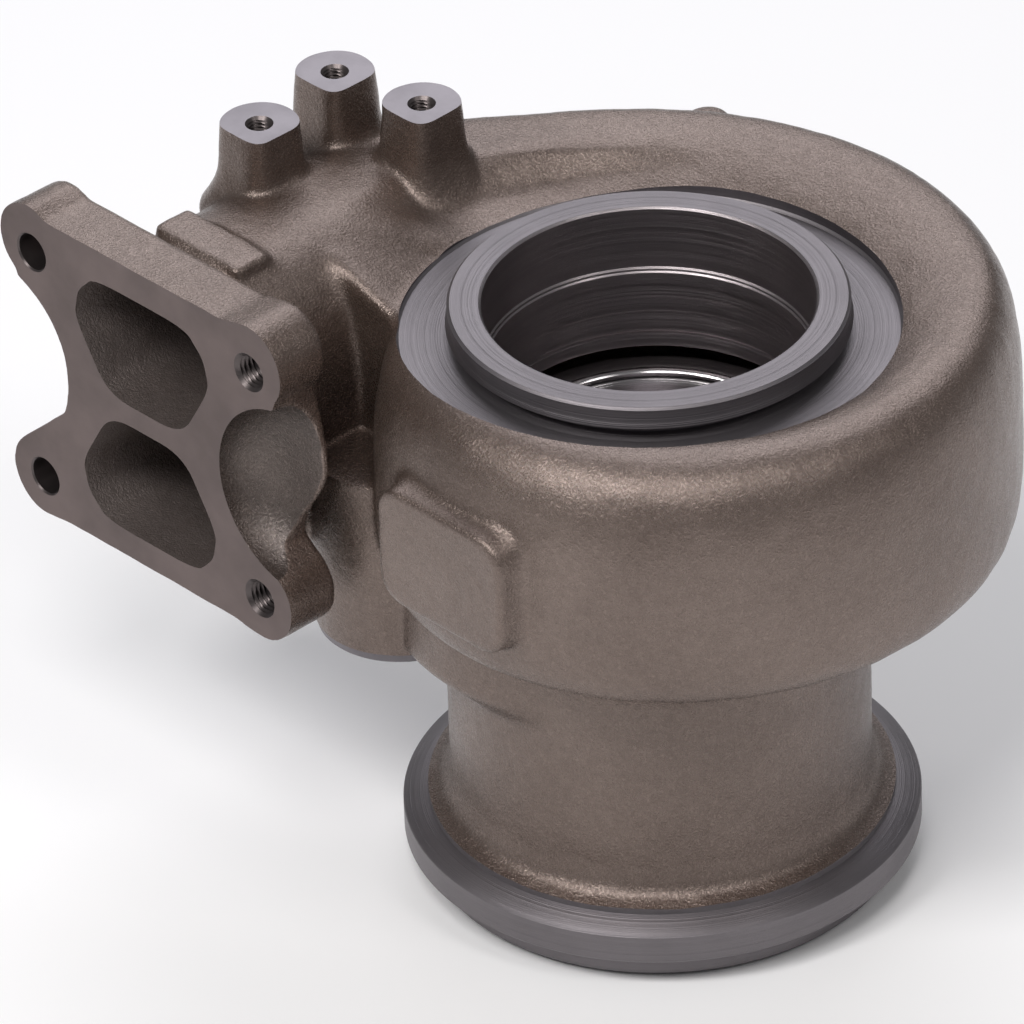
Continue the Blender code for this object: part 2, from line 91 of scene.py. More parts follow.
# Scroll: its wall's radius by the wrap, its top and bottom, and its super-elliptic section
MID_PLANE = 48.0
SCROLL_INNER_R = 50.0
SCROLL_START_R = 125.1
SCROLL_FALL = 0.0435
SCROLL_CURVE = 2.65e-4
SCROLL_FLARE = 25.0
SCROLL_FLARE_DEG = 17.0
SCROLL_FLARE_POWER = 1.6
SCROLL_TOP = -1.0
SCROLL_TOP_FALL = 0.011
SCROLL_BOTTOM = 85.4
SCROLL_BOTTOM_SAG = 9.0
SCROLL_SAG_DEG = 25.0
SCROLL_SHOULDER = 0.225
SCROLL_SHOULDER_BASE = 2.0
SCROLL_POWERS = (3.3, 3.9)
SCROLL_STEP = 3.0
TAIL_START_DEG = 183.0
TAIL_OVERLAP = 7.0
PASSAGE_END_DEG = 345.0
SCROLL_CLOSE_DEG = 357.0

# Late in the wrap, between these angles, the shoulder widens and the upper power falls
LATE_DEGS = (120.0, 280.0)
LATE_SHOULDER = 0.4
LATE_POWER_LOSS = 0.9

# The roof falls towards the ring. Early in the wrap, from the first of two angles back to the
# second, that turns into a step down to a terrace; right at the start the roof also rises
ROOF_DROP = 4.6
ROOF_POWER = 1.5
ROOF_MIN_REACH = 12.0
EARLY_DEGS = (62.0, 25.0)
EARLY_DROP = 3.6
EARLY_RISE = 1.6
EARLY_RISE_DEG = 12.0
TERRACE = (0.42, 0.78)

# Inlet duct and flange; the near edge is given from the flange's middle, from ear to ear
INLET_X = 115.2
DUCT_END_Y = 42.0
DUCT_POWERS = (2.9, 5.0)
DUCT_BLEND_STEPS = 12
DUCT_BLEND_POWER = 1.5
FLANGE_Y = 107.0
FLANGE_THICKNESS = 19.4
FLANGE_PITCH_X = 99.2
FLANGE_PITCH_Z = 83.4
FLANGE_TOP = 56.0
FLANGE_BOTTOM = 54.4
FLANGE_NEAR_EDGE = [(59.5, 27.0), (62.3, 17.5), (63.6, 8.0), (63.2, 1.0),
                    (60.8, -5.0), (57.0, -11.0), (53.2, -17.2), (51.0, -25.0)]
FLANGE_FLAT_END = 37.0
UPPER_FLAT_START = -42.0
LOWER_FLAT_START = -39.0
EAR_R = 14.3
UPPER_EAR_LIFT = 2.6
WAIST_R = 31.8
WAIST_CENTRE = 66.0
WAIST_SHIFT = 1.5
CLEAR_HOLE_R = 6.2
FLANGE_TAP_LENGTH = 32.0

# Clearance bowl between the near ears; SCOOP_SKIN is the thin skin of it that is cut away only to give the
# bowl painted shade
SCOOP_DEPTH = 16.5
SCOOP_LIFT = 0.5
SCOOP_POWER = 0.5
SCOOP_SKIN = 0.4

# Gas passages. The port's corners are shares of its half width and of its height. Each rounding is
# a share of the edges beside a corner. A blend says where in y, and how far, the port's outline has
# become the scroll's, and the recess wall is what stays between the upper passage and the recess
CAST_WALL = 6.5
DIVIDER = 7.6
PORT_HALF_WIDTH = 30.8
PORT_HEIGHT = 41.0
PORT_CORNERS = ((0.55, 0.0), (1.0, 0.56), (0.93, 0.81), (0.68, 1.0))
PORT_ROUND = 0.3
TURN_ROUND = 0.45
SCROLL_ROUND = 0.48
TURN_BLENDS = ((-31.0, 0.12), (-19.0, 0.32), (-9.0, 0.6))
START_BLEND = 0.86
PASSAGE_STEP = 7.0
PASSAGE_FADE = 0.35
PASSAGE_END_HEIGHT = 9.0
RECESS_WALL = 7.5

# Posts: centres, a round body with two flats and draft, and a foot that flares below a height;
# the levels are heights of its sections, and the lowest section is a thinner root
POSTS = [(-135.9, -35.8), (-141.2, 1.4), (-107.7, 7.1)]
POST_TOP = 21.0
POST_R = 12.5
POST_FLAT = 9.8
POST_DRAFT = 0.085
POST_SKIN = 0.25
POST_LEVELS = (-38.0, -9.0, -6.0, -3.0, 0.0, 3.0, 6.0, 9.0)
POST_ROOT_STEP = 7.0
POST_FLARE = 2.4
POST_FLARE_TOP = 6.5
POST_FLARE_HEIGHT = 10.0
POST_EASING = 24
POST_CHAMFER_R = 4.5
POST_HOLE_DEPTH = 20.0

# Land beside the flange: its sides in x and in y, its height, and its rings' rise over it and growth
LAND_X = (-134.0, -97.0)
LAND_Y = (-82.0, -68.5)
LAND_TOP = 5.2
LAND_CORNER = 1.8
LAND_RINGS = ((-19.2, 1.8), (-0.4, 0.8), (0.4, 0.5))

# Pad on the scroll's side: middle in x and z, width, height; its rings go back and grow
PAD_MIDDLE = (8.4, -49.4)
PAD_SIZE = (53.0, 40.0)
PAD_Y = 98.4
PAD_CORNER = 9.0
PAD_RINGS = ((-1.2, 0.6), (0.6, 0.8), (2.5, 1.0), (5.0, 1.5), (10.0, 3.5), (24.0, 10.0))

# Nub on the roof's far edge
NUB = (-70.5, 94.7)
NUB_R = 8.0
NUB_TOP = -7.0
NUB_ROOT = 42.0

# Foot beside the neck with its turned rim, and the off-centre swelling behind it, whose rings hold
# a depth, a growth of the radius and a share of the offset
FOOT = (-63.6, -49.8)
FOOT_R = 27.5
FOOT_ROOT = 58.0
FOOT_BOTTOM = 123.2
FOOT_RIM = 3.4
FOOT_RIM_CUT = 0.9
FOOT_RIM_HALF_TURN = 110.0
FLARE_R = 60.0
FLARE_OFFSET = 22.0
FLARE_DEG = -138.0
FLARE_RINGS = ((62.0, 0.0, 0.9), (116.0, 0.0, 1.0), (126.0, 3.0, 0.0))

# Web between the duct and the scroll; its roof sinks by so much at these places in y
WEB_ENDS = (92.0, 55.0)
WEB_FRONT_Y = 50.5
WEB_SINKS = [(-10.0, 2.0), (-20.0, 0.6), (-30.0, 0.0), (-39.0, 0.0)]
WEB_FRONT_SINK = 2.4
WEB_TOP = 0.1
WEB_SLOPE = 0.41
WEB_RIDGE_R = 103.8
WEB_BOTTOM = 77.3

# Metal that a blank has to spare for its cutter, and how far a cutter reaches past the metal
SPARE = 3.0
RIM_SPARE = 4.0
FOOT_SPARE = 5.0
OVERCUT = 6.0

# Finishes that the tools leave, in the order of the material slots; the bored metal and the passage skin are
# painted lighter as painted light, and the bowl's skin is painted darker as painted shade
FINISHES = ("cast_skin", "milled_face", "turned_metal", "bored_metal_painted_light", "passage_skin_painted_light", "drilled_metal",
            "ground_metal", "polished_metal", "painted_shade_skin")
CAST, FACED, TURNED, BORED, LIT_PASSAGE, DRILLED, GROUND, POLISHED, PAINTED_SHADE = range(9)

# Threads: pitch, major and minor radius; root and flank of the profile as shares of half a pitch
M12 = (1.75, 6.0, 5.1)
M8 = (1.25, 4.0, 3.3)
THREAD_ROOT = 0.12
THREAD_FLANK = 0.7

# The seat mount's point lies this far from the turbine axis, on the ring's top face
SEAT_POINT_R = 57.0

# Fineness of the visible mesh, and how sand and cleaning soften it
SECTION_POINTS = 120
ROUND_STEPS = 120
BOWL_STEPS = 72
TURN_STEPS = 180
VOXEL = 1.15
KEPT_SHARE = 0.385
SHARP_DEG = 33.0
SOFTENING_STEPS = 7
SPOT_SOFTENING = 45
SPOT_STEPS = 6
SPOT_FADE = 12.0
SOFT_SPOTS = {
    "notch": ((-98.0, -62.0, -45.0), (-50.0, -34.0, 6.0)),
    "under_scroll": ((-25.0, -82.0, -130.0), (32.0, -52.0, -104.0)),
}

# Ripple of the sand, in metres
RIPPLE_SCALE = 0.014
RIPPLE_HEIGHT = 0.0007

# Cast skin: how metallic and how glossy it is; how much, and how bright, its grains sparkle
SKIN_METALLIC = 0.68
SKIN_IOR = 2.3
GRAIN_SHARE = 0.22
GRAIN_GAIN = 2.3

# Light: sky colour and strength; place and width in metres, power in watts and colour of each lamp
SKY_COLOUR = (0.96, 0.97, 1.0, 1.0)
SKY_LIGHT = 0.21
LAMP_TARGET = (0.0, 0.0, 0.12)
LAMPS = {
    "key_light": ((0.7, -1.1, 2.0), 0.8, 17.0, (1.0, 0.98, 0.975)),
    "left_light": ((-0.07, -1.5, 1.8), 0.6, 20.0, (1.0, 0.985, 0.98)),
    "right_light": ((1.5, 0.1, 1.75), 0.6, 6.5, (1.0, 0.98, 0.97)),
    "back_light": ((-1.05, 1.05, 1.6), 1.8, 20.0, (0.95, 0.95, 1.0)),
}

# Floor: half width and drop below the part in metres, and tone
FLOOR_HALF = 6.0
FLOOR_DROP = 0.0005
FLOOR_TONE = (0.97, 0.97, 0.97, 1.0)

# Camera, in degrees and millimetres
CAMERA_AZIMUTH = 47.2769
CAMERA_ELEVATION = 33.7315
CAMERA_ROLL = 2.0613
CAMERA_DISTANCE = 3680.9
CAMERA_OFFSET = (41.93, -65.77)
CAMERA_LENS = 421.875
CAMERA_SENSOR = 36.0


def datum():
    """Where the turbine axis meets the ring's top face, in the row frame."""
    seat = next(m for m in frame["record"]["mounts"] if m["name"] == "bearing_housing_face")
    return Vector(seat["pos_m"]) - Vector((SEAT_POINT_R * MM, 0.0, 0.0))


ORIGIN = datum()


def new_mesh(name, points, faces):
    """Mesh of points in millimetres from the datum."""
    mesh = bpy.data.meshes.new(name)
    points = np.asarray(points, float) * MM + np.array(ORIGIN)
    mesh.from_pydata(points.tolist(), [], faces)
    return mesh


def new_object(name, mesh):
    made = bpy.data.objects.new(name, mesh)
    bpy.context.scene.collection.objects.link(made)
    return made


def signed_volume(points, faces):
    """Six times the volume of a closed body, negative if it is inside out."""
    total = 0.0
    for face in faces:
        for k in range(1, len(face) - 1):
            total += np.dot(points[face[0]], np.cross(points[face[k]], points[face[k + 1]]))
    return total


def outward(points, faces):
    """Turns every face round if the closed body is inside out."""
    points = np.asarray(points, float)
    if signed_volume(points, faces) < 0:
        faces = [list(reversed(face)) for face in faces]
    return points, faces


def loft(rings):
    """Closed body through rings of equal point counts, capped at both ends."""
    count = len(rings[0])
    points = [p for ring in rings for p in ring]
    faces = []
    for i in range(len(rings) - 1):
        a = i * count
        for j in range(count):
            k = (j + 1) % count
            faces.append([a + j, a + k, a + count + k, a + count + j])
    last = (len(rings) - 1) * count
    faces.append(list(reversed(range(count))))
    faces.append([last + j for j in range(count)])
    return outward(points, faces)


def turned(profile, centre=(0.0, 0.0), steps=TURN_STEPS):
    """Body of revolution of (radius, depth) pairs that start and end on the axis."""
    turns = np.linspace(0, 2 * math.pi, steps, endpoint=False)
    points = [(centre[0], centre[1], -profile[0][1])]
    for radius, depth in profile[1:-1]:
        for a in turns:
            points.append((centre[0] + radius * math.cos(a), centre[1] + radius * math.sin(a), -depth))
    points.append((centre[0], centre[1], -profile[-1][1]))
    rows = len(profile) - 2
    faces = []
    for j in range(steps):
        k = (j + 1) % steps
        faces.append([0, 1 + j, 1 + k])
        for i in range(rows - 1):
            a = 1 + i * steps
            faces.append([a + j, a + steps + j, a + steps + k, a + k])
        a = 1 + (rows - 1) * steps
        faces.append([len(points) - 1, a + k, a + j])
    return outward(points, faces)


def prism_y(outline, y0, y1):
    return loft([[(x, y, z) for x, z in outline] for y in (y0, y1)])


def block(low, high):
    outline = [(low[0], low[2]), (high[0], low[2]), (high[0], high[2]), (low[0], high[2])]
    return prism_y(outline, low[1], high[1])


def set_finish(mesh, finish):
    """Gives a mesh all the slots, and every face of it the one finish."""
    mesh.materials.clear()
    for name in FINISHES:
        mesh.materials.append(bpy.data.materials[name])
    mesh.polygons.foreach_set("material_index", [finish] * len(mesh.polygons))


def joined(name, bodies, finish=CAST):
    """One mesh object that holds several closed bodies of one finish."""
    points, faces, start = [], [], 0
    for body_points, body_faces in bodies:
        points.append(body_points)
        faces += [[start + i for i in face] for face in body_faces]
        start += len(body_points)
    mesh = new_mesh(name, np.vstack(points), faces)
    set_finish(mesh, finish)
    return new_object(name, mesh)


def arc(cx, cz, radius, start, end, count):
    """Points along an arc between two angles."""
    turn = np.radians(np.linspace(start, end, count))
    return [(cx + radius * math.cos(a), cz + radius * math.sin(a)) for a in turn]


def circle(cx, cz, radius, count):
    return arc(cx, cz, radius, 0, 360 - 360 / count, count)


def rounded_box(half_x, half_z, radius, count=8):
    """Rectangle about zero with round corners."""
    outline = []
    for sx, sz, start in ((1, 1, 0), (-1, 1, 90), (-1, -1, 180), (1, -1, 270)):
        outline += arc(sx * (half_x - radius), sz * (half_z - radius), radius, start, start + 90, count)
    return outline


def rounded(loop, share, count=8):
    """Rounds every corner over a share of its two edges."""
    points = np.array(loop, float)
    before, after = np.roll(points, 1, axis=0), np.roll(points, -1, axis=0)
    result = []
    for here, a, b in zip(points, points + share * (before - points), points + share * (after - points)):
        for t in np.linspace(0, 1, count):
            result.append(tuple((1 - t) ** 2 * a + 2 * t * (1 - t) * here + t * t * b))
    return result


def eased(loop, steps):
    """Evens out a closed loop by repeated averaging."""
    points = np.array(loop, float)
    for _ in range(steps):
        points = (np.roll(points, 1, axis=0) + 2 * points + np.roll(points, -1, axis=0)) / 4
    return [tuple(p) for p in points]


def blend(a, b, t):
    return [(p[0] * (1 - t) + q[0] * t, p[1] * (1 - t) + q[1] * t) for p, q in zip(a, b)]


def share_of(value, start, end):
    """How far a value is on its way from start to end, from 0 to 1."""
    return min(max((value - start) / (end - start), 0.0), 1.0)


def scroll_outer(wrap):
    """Radius of the scroll's outer wall."""
    flare = SCROLL_FLARE * math.exp(-((wrap / SCROLL_FLARE_DEG) ** SCROLL_FLARE_POWER))
    return SCROLL_START_R - SCROLL_FALL * wrap - SCROLL_CURVE * wrap * wrap + flare


def scroll_top(wrap):
    return SCROLL_TOP - SCROLL_TOP_FALL * wrap + EARLY_RISE * math.exp(-wrap / EARLY_RISE_DEG)


def scroll_bottom(wrap):
    return -SCROLL_BOTTOM - SCROLL_BOTTOM_SAG * math.exp(-wrap / SCROLL_SAG_DEG)


def place(station, loop):
    """Puts a (radius, height) loop on a station: ("duct", y) or ("wrap", degrees)."""
    kind, value = station
    if kind == "duct":
        return [(-u, value, z) for u, z in loop]
    turn = math.radians(180.0 - value)
    return [(u * math.cos(turn), u * math.sin(turn), z) for u, z in loop]


def roof_fall(share, early):
    """How much of its fall the roof has made: late and even, or in one step down to a terrace."""
    step = share_of(share, *TERRACE)
    return early * step * step * (3 - 2 * step) + (1 - early) * share ** ROOF_POWER


def oval(u_in, u_out, widths, top, bottom, powers, roof=(0.0, 1.0, 0.0)):
    """Cast outer section of super-elliptic quarters; roof is its fall, over what reach, how early."""
    centre_z = -MID_PLANE
    fall, reach, early = roof
    loop = []
    for a in np.linspace(0, 2 * math.pi, SECTION_POINTS, endpoint=False):
        c, s = math.cos(a), math.sin(a)
        width = widths[0] if s > 0 else widths[1]
        centre_u = u_out - width
        half_u = width if c > 0 else centre_u - u_in
        half_z = top - centre_z if s > 0 else centre_z - bottom
        power = powers[0] if s > 0 else powers[1]
        u = math.copysign(abs(c) ** (2 / power), c) * half_u
        z = math.copysign(abs(s) ** (2 / power), s) * half_z
        if s > 0 and u < 0:
            z = max(z - fall * roof_fall(-u / reach, early), 0.0)
        loop.append((centre_u + u, centre_z + z))
    return loop


def duct_outer_loop():
    half = PORT_HALF_WIDTH + CAST_WALL
    top = -MID_PLANE + DIVIDER / 2 + PORT_HEIGHT + CAST_WALL
    bottom = -MID_PLANE - DIVIDER / 2 - PORT_HEIGHT - CAST_WALL
    return oval(INLET_X - half, INLET_X + half, (half, half), top, bottom, DUCT_POWERS)


def scroll_outer_loop(wrap):
    outer = scroll_outer(wrap)
    late, early = share_of(wrap, *LATE_DEGS), share_of(wrap, *EARLY_DEGS)
    room = outer - RING_GROOVE_R
    upper = (SCROLL_SHOULDER + LATE_SHOULDER * late) * room + SCROLL_SHOULDER_BASE
    lower = SCROLL_SHOULDER * room + SCROLL_SHOULDER_BASE
    powers = (SCROLL_POWERS[0] - LATE_POWER_LOSS * late, SCROLL_POWERS[1])
    reach = max(outer - upper - RECESS_R, ROOF_MIN_REACH)
    roof = (ROOF_DROP + EARLY_DROP * early, reach, early)
    top, bottom = scroll_top(wrap), scroll_bottom(wrap)
    return oval(SCROLL_INNER_R, outer, (upper, lower), top, bottom, powers, roof)


def scroll_rings(start, end):
    wraps = np.arange(start, end, SCROLL_STEP)
    return [place(("wrap", wrap), scroll_outer_loop(wrap)) for wrap in wraps]


def scroll_blank():
    """Duct and scroll from the flange to the tongue, in two overlapping bodies."""
    duct = duct_outer_loop()
    start = scroll_outer_loop(0.0)
    rings = [place(("duct", y), duct) for y in (-FLANGE_Y + SPARE, -DUCT_END_Y)]
    for share in np.linspace(0, 1, DUCT_BLEND_STEPS)[1:-1]:
        y = -DUCT_END_Y * (1 - share)
        rings.append(place(("duct", y), blend(duct, start, share ** DUCT_BLEND_POWER)))
    rings += scroll_rings(0.0, TAIL_START_DEG + TAIL_OVERLAP)
    return [loft(rings), loft(scroll_rings(TAIL_START_DEG, SCROLL_CLOSE_DEG + 0.1))]


def port_loop(side):
    """Outline of the upper or lower port, a flat hexagon with its crown away from the divider."""
    half = [(u * PORT_HALF_WIDTH, DIVIDER / 2 + z * PORT_HEIGHT) for u, z in PORT_CORNERS]
    loop = [(-half[0][0], half[0][1])] + half + [(-u, z) for u, z in reversed(half[1:])]
    return [(INLET_X + u, -MID_PLANE + side * z) for u, z in loop]


def passage_loop(wrap, side):
    """Gas passage of one scroll, from its throat at the wheel out to the cast wall."""
    outer = scroll_outer(wrap) - CAST_WALL
    inner = THROAT_OUTER_R - 4.0
    width = outer - inner
    mid = -MID_PLANE
    throat_mid = -THROAT_TOP - THROAT_WIDTH / 2
    fade = PASSAGE_FADE * wrap / PASSAGE_END_DEG
    full = scroll_top(wrap) - CAST_WALL if side > 0 else scroll_bottom(wrap) + CAST_WALL
    limit = full * (1 - fade) + (mid + side * PASSAGE_END_HEIGHT) * fade
    reach = abs(limit - mid)
    low = DIVIDER / 2
    inner_wall = THROAT_OUTER_R + 1.5
    crown = (outer - 0.34 * width, limit)
    shelf = min(RECESS_R - 5.0, (inner_wall + crown[0]) / 2)
    under = min(limit, -RECESS_DEPTH - RECESS_WALL) if side > 0 else max(limit, mid - 0.86 * reach)
    return [
        (inner, throat_mid + side * 1.1),
        (outer - 0.1 * width, mid + side * low),
        (outer, mid + side * (low + 0.42 * (reach - low))),
        (outer - 0.05 * width, mid + side * (low + 0.82 * (reach - low))),
        crown,
        (shelf, under),
        (inner_wall, mid + side * (low + 0.4 * (reach - low))),
        (inner, throat_mid + side * (THROAT_WIDTH / 2)),
    ]


def passage(side):
    """Core of one gas passage; its corners are tight at the port and open out in the scroll."""
    duct = port_loop(side)
    start = passage_loop(0.0, side)
    stations = []
    for y in (-FLANGE_Y - OVERCUT, -FLANGE_Y + 25.0, -DUCT_END_Y - 4.0):
        stations.append((("duct", y), duct, PORT_ROUND))
    for y, t in TURN_BLENDS:
        stations.append((("duct", y), blend(duct, start, t), PORT_ROUND + (TURN_ROUND - PORT_ROUND) * t))
    stations.append((("wrap", 0.0), blend(duct, start, START_BLEND), TURN_ROUND))
    for wrap in np.arange(9.0, PASSAGE_END_DEG + 0.1, PASSAGE_STEP):
        stations.append((("wrap", wrap), passage_loop(wrap, side), SCROLL_ROUND))
    return loft([place(station, rounded(loop, share)) for station, loop, share in stations])


def flange_outline():
    """Flange seen from the inlet side: corner ears, flat edges, waists between the ears."""
    ex, ez = FLANGE_PITCH_X / 2, FLANGE_PITCH_Z / 2
    outline = arc(ex, ez + UPPER_EAR_LIFT, EAR_R, 95, -40, 24)
    outline += FLANGE_NEAR_EDGE
    outline += arc(ex, -ez, EAR_R, 55, -95, 24)
    outline += [(FLANGE_FLAT_END, -FLANGE_BOTTOM), (LOWER_FLAT_START, -FLANGE_BOTTOM)]
    outline += arc(-ex, -ez, EAR_R, 265, 128, 24)
    outline += arc(-WAIST_CENTRE - WAIST_SHIFT, 0.0, WAIST_R, -24, 71, 24)
    outline += arc(-ex, ez + UPPER_EAR_LIFT, EAR_R, 238, 85, 24)
    outline += [(UPPER_FLAT_START, FLANGE_TOP), (FLANGE_FLAT_END, FLANGE_TOP)]
    return [(x - INLET_X, z - MID_PLANE) for x, z in outline]


def scoop(grow=0.0):
    """Cast clearance bowl between the two near ears of the flange."""
    x, z = WAIST_CENTRE - INLET_X, SCOOP_LIFT - MID_PLANE
    radius, depth = WAIST_R + grow, SCOOP_DEPTH + grow
    rings = [[(px, -FLANGE_Y - OVERCUT, pz) for px, pz in circle(x, z, radius, BOWL_STEPS)]]
    for a in np.radians(np.linspace(0, 88, 18)):
        loop = circle(x, z, radius * math.cos(a) ** SCOOP_POWER, BOWL_STEPS)
        rings.append([(px, -FLANGE_Y + depth * math.sin(a), pz) for px, pz in loop])
    return loft(rings)


def carved(body):
    """A body with the clearance bowl taken out of it."""
    made = joined("carved", [body])
    cut(made, joined("scoop_cutter", [scoop()]))
    mesh = made.data
    points = (np.array([v.co[:] for v in mesh.vertices]) - np.array(ORIGIN)) / MM
    faces = [list(p.vertices) for p in mesh.polygons]
    bpy.data.objects.remove(made)
    return points, faces


def flange_blank():
    """Flange plate, a little thicker than finished."""
    return prism_y(flange_outline(), -FLANGE_Y - 2.0, -FLANGE_Y + FLANGE_THICKNESS)


def post_blank(centre):
    """Drafted round post with two flats and a flared foot, on a thinner root inside the scroll."""
    rings = []
    for z in POST_LEVELS + (POST_TOP + SPARE,):
        flare = POST_FLARE * max(0.0, (POST_FLARE_TOP - z) / POST_FLARE_HEIGHT) ** 2
        grow = POST_SKIN + POST_DRAFT * (POST_TOP - z) + flare
        if z == POST_LEVELS[0]:
            grow = -POST_ROOT_STEP
        ring = []
        for x, y in circle(0.0, 0.0, POST_R + grow, ROUND_STEPS):
            ring.append((min(x, POST_FLAT + grow), max(y, -POST_FLAT - grow)))
        rings.append([(centre[0] + x, centre[1] + y, z) for x, y in eased(ring, POST_EASING)])
    return loft(rings)


def ledge():
    """Rough ledge under the turned recess, where the roof falls almost to its floor."""
    loop = arc(0.0, 0.0, RECESS_R - 0.4, *LEDGE_DEGS, 60) + [(0.0, 0.0)]
    heights = (-RECESS_DEPTH - LEDGE_FALL, -RECESS_DEPTH + LEDGE_RISE)
    return loft([[(x, y, z) for x, y in loop] for z in heights])


def side_pad():
    (cx, cz), (width, height) = PAD_MIDDLE, PAD_SIZE
    rings = []
    for back, grow in PAD_RINGS:
        loop = rounded_box(width / 2 + grow, height / 2 + grow, PAD_CORNER + grow)
        rings.append([(cx + x, -PAD_Y + back, cz + z) for x, z in loop])
    return loft(rings)


def land():
    (x0, x1), (y0, y1) = LAND_X, LAND_Y
    rings = []
    for rise, grow in LAND_RINGS:
        loop = rounded_box((x1 - x0) / 2 + grow, (y1 - y0) / 2 + grow, LAND_CORNER)
        rings.append([((x0 + x1) / 2 + x, (y0 + y1) / 2 + y, LAND_TOP + rise) for x, y in loop])
    return loft(rings)


def neck_blank():
    """Hub, neck and the swelling that carries the outlet's rim, all with metal to spare."""
    return turned([
        (0.0, -1.0),
        (RING_OUTER_R + 2.0, -1.0),
        (RING_OUTER_R + 2.0, RECESS_DEPTH - SPARE),
        (HUB_R, RECESS_DEPTH - SPARE),
        (HUB_R, 84.0),
        (NECK_R + 4.0, 92.0),
        (NECK_R, 108.0),
        (NECK_R, VBAND_TOP - 15.0),
        (NECK_R + 0.9, VBAND_TOP - 10.0),
        (NECK_R + 2.7, VBAND_TOP - 6.8),
        (VBAND_ROOT_R + 1.0, VBAND_TOP - 4.5),
        (VBAND_R + RIM_SPARE, VBAND_TOP - 2.5),
        (VBAND_R + RIM_SPARE, TOTAL_HEIGHT + SPARE),
        (0.0, TOTAL_HEIGHT + SPARE),
    ])


def foot_blank():
    """Round foot beside the neck, and the off-centre swelling behind it."""
    bottom = FOOT_BOTTOM + FOOT_SPARE
    foot = turned([(0.0, FOOT_ROOT), (FOOT_R, FOOT_ROOT), (FOOT_R, bottom), (0.0, bottom)], FOOT, ROUND_STEPS)
    turn = math.radians(FLARE_DEG)
    rings = []
    for depth, grow, part in FLARE_RINGS:
        off = FLARE_OFFSET * part
        loop = circle(off * math.cos(turn), off * math.sin(turn), FLARE_R + grow, ROUND_STEPS)
        rings.append([(x, y, -depth) for x, y in loop])
    return [foot, loft(rings)]


def nub_blank():
    return turned([
        (0.0, -NUB_TOP),
        (NUB_R - 3.0, -NUB_TOP),
        (NUB_R - 0.8, -NUB_TOP + 1.0),
        (NUB_R, -NUB_TOP + 3.5),
        (NUB_R + 1.5, NUB_ROOT),
        (0.0, NUB_ROOT),
    ], NUB, 60)


def notch_web():
    """Web between the duct's near wall and the scroll, its roof falling towards the ring."""
    sinks = WEB_SINKS + [(1.5 - WEB_FRONT_Y, 0.0), (-WEB_FRONT_Y, WEB_FRONT_SINK)]
    rings = []
    for x in np.linspace(-WEB_ENDS[0], -WEB_ENDS[1], 7):
        section = [(sinks[0][0], -WEB_BOTTOM)]
        for y, sink in sinks:
            fall = WEB_SLOPE * max(WEB_RIDGE_R - math.hypot(x, y), 0.0)
            section.append((y, -WEB_TOP - sink - fall))
        section.append((-WEB_FRONT_Y, -WEB_BOTTOM))
        rings.append([(x, y, z) for y, z in section])
    return loft(rings)


def evaluated_mesh(made):
    graph = bpy.context.evaluated_depsgraph_get()
    return bpy.data.meshes.new_from_object(made.evaluated_get(graph))


def apply_modifiers(made):
    """Replaces the mesh by what its modifiers make of it."""
    mesh = evaluated_mesh(made)
    made.modifiers.clear()
    made.data = mesh


def cut(made, cutter):
    modifier = made.modifiers.new("cut", "BOOLEAN")
    modifier.operation = "DIFFERENCE"
    modifier.solver = "MANIFOLD"
    modifier.object = cutter
    apply_modifiers(made)
    bpy.data.objects.remove(cutter)


def soft_spot(made, name, low, high):
    """Vertex group of what lies in a box, fading out round it."""
    points = np.empty(3 * len(made.data.vertices))
    made.data.vertices.foreach_get("co", points)
    points = (points.reshape(-1, 3) - np.array(ORIGIN)) / MM
    away = np.linalg.norm(np.maximum(np.maximum(low - points, points - high), 0.0), axis=1)
    group = made.vertex_groups.new(name=name)
    for step in range(SPOT_STEPS):
        band = (away >= SPOT_FADE * step / SPOT_STEPS) & (away < SPOT_FADE * (step + 1) / SPOT_STEPS)
        group.add(np.nonzero(band)[0].tolist(), 1.0 - step / SPOT_STEPS, "REPLACE")


def soften(made, iterations, group=""):
    smooth = made.modifiers.new("soften", "SMOOTH")
    smooth.factor = 0.5
    smooth.iterations = iterations
    smooth.vertex_group = group


def ripple(made):
    """Slow unevenness of a sand-cast surface."""
    sand = bpy.data.textures.new("sand_ripple", "CLOUDS")
    sand.noise_scale = RIPPLE_SCALE
    sand.noise_depth = 2
    uneven = made.modifiers.new("uneven", "DISPLACE")
    uneven.texture = sand
    uneven.texture_coords = "LOCAL"
    uneven.strength = RIPPLE_HEIGHT
    uneven.mid_level = 0.5


def casting_blank():
    """All cast forms fused, with their edges and inner corners softened as sand leaves them."""
    duct, tail = scroll_blank()
    bodies = [carved(duct), tail, carved(flange_blank()), neck_blank()]
    bodies += [side_pad(), land(), nub_blank(), notch_web()]
    bodies += foot_blank() + [ledge()]
    bodies += [post_blank(centre) for centre in POSTS]
    blank = joined("housing_casting", bodies)
    fuse = blank.modifiers.new("fuse", "REMESH")
    fuse.mode = "VOXEL"
    fuse.voxel_size = VOXEL * MM
    apply_modifiers(blank)
    for name, (low, high) in SOFT_SPOTS.items():
        soft_spot(blank, name, low, high)
        soften(blank, SPOT_SOFTENING, name)
    soften(blank, SOFTENING_STEPS)
    ripple(blank)
    thin = blank.modifiers.new("thin", "DECIMATE")
    thin.ratio = KEPT_SHARE
    apply_modifiers(blank)
    blank.vertex_groups.clear()
    set_finish(blank.data, CAST)
    return blank


